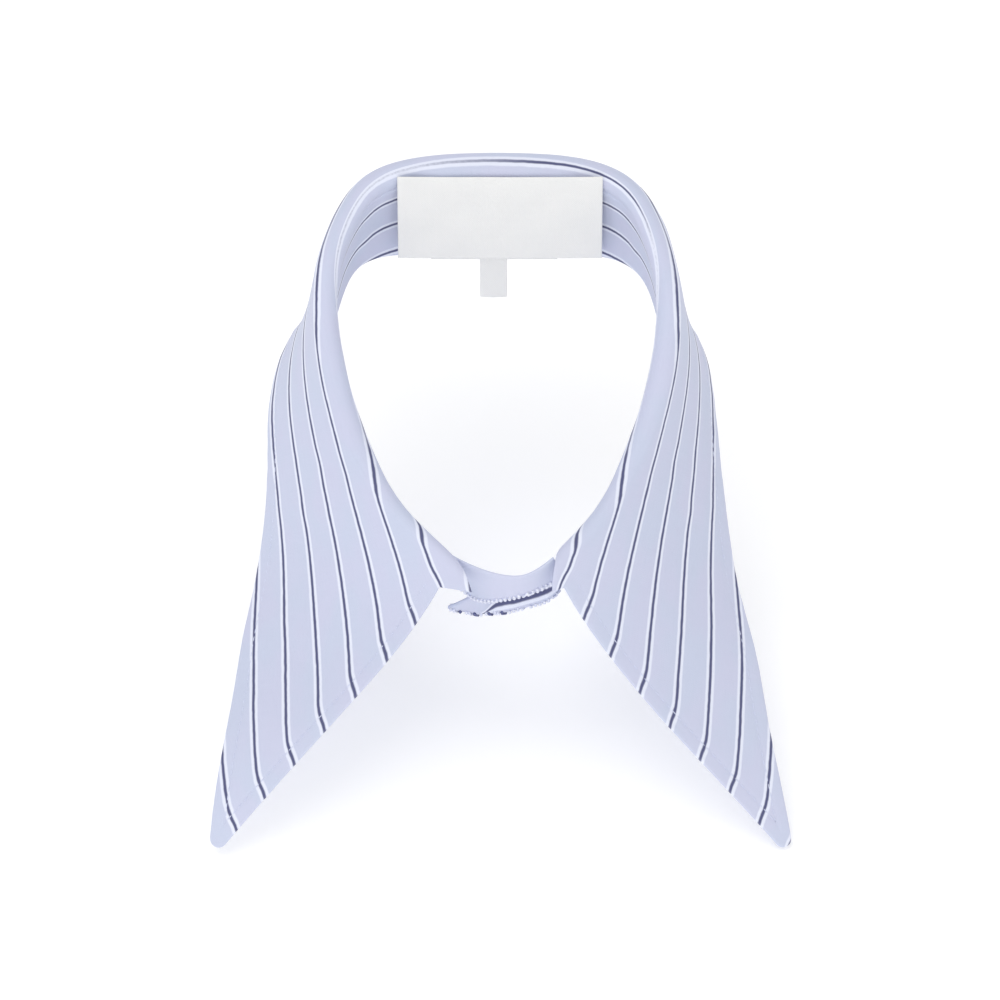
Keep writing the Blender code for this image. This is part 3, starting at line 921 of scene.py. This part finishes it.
def uvMap(tree, name):
    node = tree.nodes.new("ShaderNodeUVMap")
    node.uv_map = name
    return node.outputs[0]


def newMaterial(name):
    material = bpy.data.materials.new(name)
    material.use_nodes = True
    return material, material.node_tree, material.node_tree.nodes["Principled BSDF"]


def bumped(tree, shader, height, strength, distance):
    node = tree.nodes.new("ShaderNodeBump")
    node.inputs["Strength"].default_value = strength
    node.inputs["Distance"].default_value = distance
    tree.links.new(height, node.inputs["Height"])
    tree.links.new(node.outputs[0], shader.inputs["Normal"])


threadRelief = 0.00012  # metres from the gaps between the threads to their tops

shirtingLook = {
    "ground": (0.585, 0.630, 0.780, 1),
    "drift": (0.605, 0.625, 0.785, 1),
    "white": (0.80, 0.83, 0.95, 1),
    "navy": (0.082, 0.088, 0.190, 1),
    # painted shade: the colour the gaps between the threads are darkened towards, by the share below
    "gap": (0.25, 0.28, 0.45, 1),  # between the threads
    "gapShadeShare": 0.16,
    # how strongly the edges pale, as rubbing wear and painted rim highlight
    "wearAndHighlight": 0.12,
    "threads": 3.4,  # to the millimetre
    "slub": 0.5,
    "bump": 0.35,
    "sheen": 0.18,
    "sheenRoughness": 0.45,
    "specular": 0.3,
}


def shirtingMaterial(name, look):
    material, tree, shader = newMaterial(name)
    pattern, wearAndGlare = uvMap(tree, "pattern"), uvMap(tree, "wearAndGlare")
    wearAndHighlight = place(tree, groups["edge"], Wear=wearAndGlare, Grain=pattern, Amount=look["wearAndHighlight"])
    stripes = place(tree, groups["stripes"], Pattern=pattern, Pitch=shirting["pitch"], Ground=look["ground"],
                    Drift=look["drift"], White=look["white"], Navy=look["navy"], Faded=wearAndHighlight["Faded"])
    weave = place(tree, groups["weave"], Pattern=pattern, Threads_per_mm=look["threads"], Slub=look["slub"])
    # painted shade in the gaps between the threads
    shade = sums(tree, "MULTIPLY", sums(tree, "SUBTRACT", 1.0, weave["Shade"]), look["gapShadeShare"])
    colour = mixed(tree, shade, stripes["Color"], look["gap"])
    # paler along the turned edges: rubbing wear and painted rim highlight
    colour = mixed(tree, wearAndHighlight["WornAndHighlit"], colour, look["white"])
    tree.links.new(colour, shader.inputs["Base Color"])
    tree.links.new(ranged(tree, weave["Shade"], 0.0, 1.0, 0.9, 0.76), shader.inputs["Roughness"])
    bumped(tree, shader, weave["Height"], look["bump"], threadRelief)
    shader.inputs["Sheen Weight"].default_value = look["sheen"]
    shader.inputs["Sheen Roughness"].default_value = look["sheenRoughness"]
    shader.inputs["Specular IOR Level"].default_value = look["specular"]
    return material


tapeLook = {
    "face": (0.85, 0.85, 0.835, 1),
    # painted shade: the colour the gaps between the threads are darkened towards
    "gap": (0.68, 0.69, 0.70, 1),
    "gapShadeShare": 0.22,
    # the pale edge colour, for rubbing wear and painted rim highlight
    "edge": (0.92, 0.92, 0.91, 1),
    "wearAndHighlight": 0.5,
    "threads": 2.6,
    "slub": 0.35,
    "bump": 0.4,
    "sheen": 0.1,
    "specular": 0.4,
}


def tapeMaterial(name, look):
    material, tree, shader = newMaterial(name)
    pattern = uvMap(tree, "pattern")
    weave = place(tree, groups["weave"], Pattern=pattern, Threads_per_mm=look["threads"], Slub=look["slub"])
    wearAndHighlight = place(tree, groups["edge"], Wear=uvMap(tree, "wearAndGlare"), Grain=pattern, Amount=look["wearAndHighlight"])
    cloud = noisy(tree, stretched(tree, pattern, (0.08, 0.08, 1.0)), 1.0, 3.0)
    cloud = ranged(tree, cloud, 0.3, 0.7, 0.0, 0.12)
    # painted shade in the gaps between the threads, plus tone that varies at random
    shade = sums(tree, "MULTIPLY_ADD", sums(tree, "SUBTRACT", 1.0, weave["Shade"]), look["gapShadeShare"], cloud)
    colour = mixed(tree, shade, look["face"], look["gap"])
    # paler along the turned edges: rubbing wear and painted rim highlight
    tree.links.new(mixed(tree, wearAndHighlight["WornAndHighlit"], colour, look["edge"]), shader.inputs["Base Color"])
    tree.links.new(ranged(tree, weave["Shade"], 0.0, 1.0, 0.75, 0.5), shader.inputs["Roughness"])
    bumped(tree, shader, weave["Height"], look["bump"], threadRelief)
    shader.inputs["Sheen Weight"].default_value = look["sheen"]
    shader.inputs["Specular IOR Level"].default_value = look["specular"]
    return material


def threadMaterial(name, colour, dark):
    # two-ply thread: a fine slanted twist along its length
    material, tree, shader = newMaterial(name)
    split = tree.nodes.new("ShaderNodeSeparateXYZ")
    tree.links.new(uvMap(tree, "pattern"), split.inputs[0])
    turn = sums(tree, "MULTIPLY_ADD", split.outputs[0], 9.0, split.outputs[1])
    twist = sums(tree, "MULTIPLY_ADD", sums(tree, "SINE", turn), 0.5, 0.5)
    tree.links.new(mixed(tree, twist, dark, colour), shader.inputs["Base Color"])
    tree.links.new(ranged(tree, twist, 0.0, 1.0, 0.75, 0.55), shader.inputs["Roughness"])
    bumped(tree, shader, twist, 0.3, 0.00006)
    shader.inputs["Sheen Weight"].default_value = 0.15
    return material


def floorMaterial():
    material, tree, shader = newMaterial("paleFloor")
    where = tree.nodes.new("ShaderNodeTexCoord").outputs["Object"]
    cloud = noisy(tree, where, 3.0, 3.0)
    colour = mixed(tree, cloud, (0.90, 0.90, 0.90, 1), (0.93, 0.93, 0.93, 1))
    tree.links.new(colour, shader.inputs["Base Color"])
    tree.links.new(ranged(tree, cloud, 0.0, 1.0, 0.85, 0.95), shader.inputs["Roughness"])
    shader.inputs["Emission Color"].default_value = (1, 1, 1, 1)
    shader.inputs["Emission Strength"].default_value = studio["floorGlow"]
    return material


leafCloth = shirtingMaterial("leafShirting", shirtingLook)
standCloth = shirtingMaterial("standShirting", shirtingLook)
whiteTape = tapeMaterial("whiteTape", tapeLook)
whiteThread = threadMaterial("whiteThread", (0.86, 0.88, 0.97, 1), (0.62, 0.65, 0.82, 1))
paleThread = threadMaterial("paleThread", (0.74, 0.78, 0.92, 1), (0.52, 0.56, 0.74, 1))
navyThread = threadMaterial("navyThread", (0.14, 0.16, 0.34, 1), (0.07, 0.08, 0.2, 1))
print("materials are made")


def dress(piece, node):
    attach(piece, "root")
    if node:
        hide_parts(node)
    return piece


def report(name, piece, size, area):
    faces = len(piece.data.polygons)
    print(f"{name}: {faces} faces; cut {size[0]:.1f} by {size[1]:.1f} mm, {area:.5f} square metres")


def makeLeaf():
    pattern = leafPattern()
    grid = np.full((*pattern.shape[:2], 3), np.nan)
    for i, column in enumerate(pattern):
        for s in np.unique(column[~np.isnan(column[:, 0]), 0]):
            rows = column[:, 0] == s
            grid[i, rows] = clothColumn(s, column[rows, 1])
    present = ~np.isnan(pattern[:, :, 0])
    rise, printed, glareShare = np.zeros(present.shape), np.zeros(pattern.shape), np.zeros(present.shape)
    along, down = pattern[present].T
    rise[present] = leafRelief(along, down)
    printed[present] = printedPattern(along, down)
    # painted highlight over the top navy line
    glareShare[present] = paintedLineGlare(along, down)
    grid = grid + normals(grid) * rise[:, :, None]
    # the seam allowance is thinner, to lie between the stand's two layers
    seam = at["seam"](np.nan_to_num(pattern[:, :, 0]))
    thin = leaf["tuckWall"] + (1 - leaf["tuckWall"]) * smooth((pattern[:, :, 1] - seam + 0.3) / 1.2)
    half = 0.5 * shirting["wall"] * np.where(np.abs(pattern[:, :, 0]) < leaf["tuckUntil"], thin, 1)
    piece = clothSheet("leafOfShirting", grid, pattern, half, leafCloth, printed=printed, glareShare=glareShare)
    dress(piece, "collar_leaf")
    size, area = cutSize(pattern), flatArea(pattern)
    stitches = threadPiece("leafTopstitch", topstitches(), stitching["radius"], paleThread)
    dress(stitches, None)
    report("leaf", piece, size, area)


def standPrinted(pattern):
    # the over end is cut between two stripes; on the under end the lowest stripe is moved to run along the
    # gap under the over end's edge, its navy line there partly real stripe and partly standing in as painted
    # shade
    along, down = pattern[:, :, 0], pattern[:, :, 1]
    over = stand["overSqueeze"] * smooth((-along - 168) / 16) * np.minimum(down + 28.5, 0)
    under = stand["underShift"] * smooth((along - 168) / 16) * smooth((-27 - down) / 5)
    return np.stack([along, down - over + under], axis=-1)


overcast = {
    "pace": 1.8,
    "slack": 0.5,  # how unevenly they are spaced
    "reach": 2.4,  # up each face from the edge
    "radius": 0.6,
    "every": 3,  # on the under end, two pale stitches and then a navy one
    "pale": 2,
    "navyUntil": 12,  # stitches from the tip
    "beyond": 0.35,  # past the edge of the cloth
}

# One overcast stitch, over the edge from the outer face to the inner one: along the edge from where it
# starts, up the cloth in millimetres or as a share of its reach, how far off the cloth's middle as a share
# of half its wall (plus on the outer face), and whether it is past the edge.
overcastColumns = ("along", "up", "share", "off", "past")
overcastStitch = (
    (-0.5, 0, 1, 0.9, 0),
    (-0.35, 0, 0.7, 1.2, 0),
    (-0.2, 0.9, 0, 1.25, 0),
    (0, 0.15, 0, 0.7, 1),
    (0.1, 0.15, 0, -0.7, 1),
    (0.2, 0.9, 0, -1.25, 0),
    (0.35, 0, 0.7, -1.2, 0),
    (0.5, 0, 1, -0.9, 0),
)


def offStand(column, out, inward, off):
    # a point beside one column of the stand, so far in from its lower edge
    own = distances(column)
    inward = min(inward, 0.8 * own[-1])
    point, look = (np.array([np.interp(inward, own, rows[:, k]) for k in range(3)]) for rows in (column, out))
    return point + look * off


def wraps(grid, out, way):
    # overcast stitches round the stand's lower edge, from one of its ends: 1 the over end, -1 the under end
    grid, out = grid[::way, ::-1], out[::way, ::-1]
    places = distances(grid[:, 0])
    runs = []
    for n in range(int(stand["wrap"] / overcast["pace"])):
        slack = overcast["slack"] * noise.noise(Vector((n * 0.83, 4.0 * way, 0.5)))
        start = 0.8 + n * overcast["pace"] + slack
        reach = overcast["reach"] * (1 + 0.35 * noise.noise(Vector((n * 1.31, 9.0, way))))
        here = min(int(np.searchsorted(places, start)), len(grid) - 2)
        beyond = overcast["beyond"] * unit(grid[here, 0] - grid[here, 3])
        run = []
        for row in overcastStitch:
            c = dict(zip(overcastColumns, row))
            i = min(int(np.searchsorted(places, start + c["along"])), len(grid) - 2)
            point = offStand(grid[i], out[i], c["up"] + c["share"] * reach, c["off"])
            run.append(point + c["past"] * beyond)
        runs.append(np.array(run))
    return runs


def makeStand():
    grid, pattern = standGrid()
    rise = standRelief(pattern[:, :, 0], pattern[:, :, 1])
    grid = grid + normals(grid) * rise[:, :, None]
    half = np.full(grid.shape[:2], 0.5 * shirting["wall"])
    piece = clothSheet("standOfShirting", grid, pattern, half, standCloth, printed=standPrinted(pattern))
    dress(piece, "collar_stand")
    out = normals(grid) * 0.5 * shirting["wall"]
    overRuns, underRuns = wraps(grid, out, 1), wraps(grid, out, -1)
    every, pale = overcast["every"], overcast["pale"]
    navy = [n % every >= pale and n < overcast["navyUntil"] for n in range(len(underRuns))]
    for name, runs, thread in (
        ("overcastOverEnd", overRuns, whiteThread),
        ("overcastUnderEnd", [run for run, dark in zip(underRuns, navy) if not dark], whiteThread),
        ("overcastUnderEndNavy", [run for run, dark in zip(underRuns, navy) if dark], navyThread),
    ):
        dress(threadPiece(name, runs, overcast["radius"], thread), None)
    size, area = cutSize(pattern), flatArea(pattern)
    report("stand", piece, size, area)


# The label, the strip behind it and the hanging tab, all of white tape
tape = {
    "back": 47.5,  # the middle of the label's top edge, and its tilt
    "up": 52.8,
    "lean": 9.0,
    "layer": 1.3,  # from the middle of one tape to the middle of the next
    "mesh": 1.0,
    "labelWall": 0.7,
    "labelWidth": 69.5,
    "labelHeight": 34.5,
    "labelCockle": 0.18,
    "endsBack": 0.25,  # how far its ends and its top edge ease back towards the stand
    "topBack": 0.9,
    "topReach": 5.0,
    "stripWall": 0.45,
    "stripCentre": -2.0,
    "stripWidth": 43.0,
    "stripShows": 1.5,
    "stripTucked": 10.5,
    "stripCockle": 0.1,
    "tabWall": 0.4,
    "tabCentre": -2.2,
    "tabWidth": 9.2,
    "tabLength": 17.5,
    "tabTucked": 3.0,
    "tabFold": 0.3,  # half the space between its two layers
    "tabSway": 0.12,
}


def onLabel(x, y, behind):
    lean = math.radians(tape["lean"])
    middle = np.array((0.0, tape["back"], tape["up"]))
    drop = np.array((0.0, -math.sin(lean), -math.cos(lean)))
    back = np.array((0.0, math.cos(lean), -math.sin(lean)))
    return middle + np.array((1.0, 0.0, 0.0)) * x + drop * y + back * behind


def tapePiece(name, xs, ys, behind, wall, node):
    # a rectangle of tape; behind gives its distance behind the label's plane at a place across and down it
    grid = np.array([[onLabel(x, y, behind(x, y)) for y in ys] for x in xs])
    pattern = np.array([[(x, y) for y in ys] for x in xs], float)
    half = np.full(grid.shape[:2], 0.5 * wall)
    return dress(clothSheet(name, grid, pattern, half, whiteTape, rim=0.3), node)


def span(centre, width, step):
    return centre - width / 2 + graded(width, step, low=True, high=True)


def labelBow(x, y):
    # barely cockled, its ends and its top edge eased back towards the stand
    wave = tape["labelCockle"] * noise.noise(Vector((x / 17, y / 11, 2.0)))
    ends = tape["endsBack"] * (2 * x / tape["labelWidth"]) ** 4
    return wave + ends + tape["topBack"] * math.exp(-y / tape["topReach"])


def stripBow(x, y):
    return tape["layer"] + tape["stripCockle"] * noise.noise(Vector((x / 9, y / 9, 7.0)))


def makeTab(low):
    # a narrow tape folded in half: down the front, round the fold at its lower end and up behind
    gap = tape["tabFold"]
    top = tape["labelHeight"] - tape["tabTucked"]
    fold = low + tape["tabLength"] - gap
    front = top + graded(fold - top, 0.9, low=True)
    turn = np.radians(np.linspace(-60, 60, 5))
    rows = [(y, -gap) for y in front]
    rows += [(fold + gap * math.cos(angle), gap * math.sin(angle)) for angle in turn]
    rows += [(y, gap) for y in front[::-1]]
    runs = distances(rows)
    xs = span(tape["tabCentre"], tape["tabWidth"], 0.8)
    grid, pattern = [], []
    for x in xs:
        sway = tape["tabSway"] * math.sin(x * 0.6)
        grid.append([onLabel(x, y, 2 * tape["layer"] + off + sway * (y - top) / 20) for y, off in rows])
        pattern.append([(x, run) for run in runs])
    half = np.full((len(xs), len(rows)), 0.5 * tape["tabWall"])
    tab = clothSheet("foldedTab", np.array(grid), np.array(pattern), half, whiteTape, rim=0.22)
    return dress(tab, "label_tab")


def makeLabel():
    width, height, mesh = tape["labelWidth"], tape["labelHeight"], tape["mesh"]
    rows = graded(height, mesh, low=True, high=True)
    piece = tapePiece("wovenLabel", span(0, width, mesh), rows, labelBow, tape["labelWall"], "label")
    low, top = height + tape["stripShows"], height - tape["stripTucked"]
    rows = top + graded(low - top, mesh, low=True, high=True)
    columns = span(tape["stripCentre"], tape["stripWidth"], mesh)
    strip = tapePiece("stripBehindLabel", columns, rows, stripBow, tape["stripWall"], "label_strip")
    tab = makeTab(low)
    print("label, strip and tab are made")


makeStand()
makeLeaf()
makeLabel()


# The floor, the lights and the camera, in metres, watts and degrees
studio = {
    "target": (0.0, -0.0292, -0.0245),
    "elevation": 50.0,
    "distance": 2.5,
    "lens": 265.5,
    "floorDrop": 0.001,  # the floor lies this far below the collar's points
    "floorHalf": 3.0,
    "floorGlow": 0.2,
    "world": 0.80,
    "softboxes": (  # name, place, size across and power
        ("topSoftbox", (-0.4, 0.1, 1.6), 1.4, 5.5),
        ("frontSoftbox", (-0.3, -1.7, 0.45), 1.3, 6.5),
        ("rightSoftbox", (1.5, -0.5, 0.9), 1.2, 0.8),
    ),
    "aim": (0.0, -0.02, -0.02),
}


def softbox(name, where, size, power):
    light = bpy.data.lights.new(name, "AREA")
    light.shape, light.size, light.energy = "DISK", size, power
    obj = bpy.data.objects.new(name, light)
    obj.location = where
    obj.rotation_euler = (Vector(studio["aim"]) - Vector(where)).to_track_quat("-Z", "Y").to_euler()
    bpy.context.scene.collection.objects.link(obj)


def makeStudio():
    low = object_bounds()[0][2] - studio["floorDrop"]
    half = studio["floorHalf"]
    corners = [(-half, -half, low), (half, -half, low), (half, half, low), (-half, half, low)]
    floor = newObject("floor", corners, [(0, 1, 2, 3)], floorMaterial())
    for row in studio["softboxes"]:
        softbox(*row)
    world = bpy.data.worlds.new("studio")
    world.use_nodes = True
    background = world.node_tree.nodes["Background"]
    background.inputs["Color"].default_value = (1.0, 1.0, 1.0, 1)
    background.inputs["Strength"].default_value = studio["world"]
    bpy.context.scene.world = world
    bpy.context.scene.view_settings.view_transform = "Standard"
    camera = bpy.data.cameras.new("camera")
    camera.lens = studio["lens"]
    obj = bpy.data.objects.new("camera", camera)
    tilt = math.radians(studio["elevation"])
    away = Vector((0.0, -math.cos(tilt), math.sin(tilt))) * studio["distance"]
    obj.location = Vector(studio["target"]) + away
    obj.rotation_euler = (math.radians(90) - tilt, 0.0, 0.0)
    bpy.context.scene.collection.objects.link(obj)
    bpy.context.scene.camera = obj
    print("studio is set")


makeStudio()
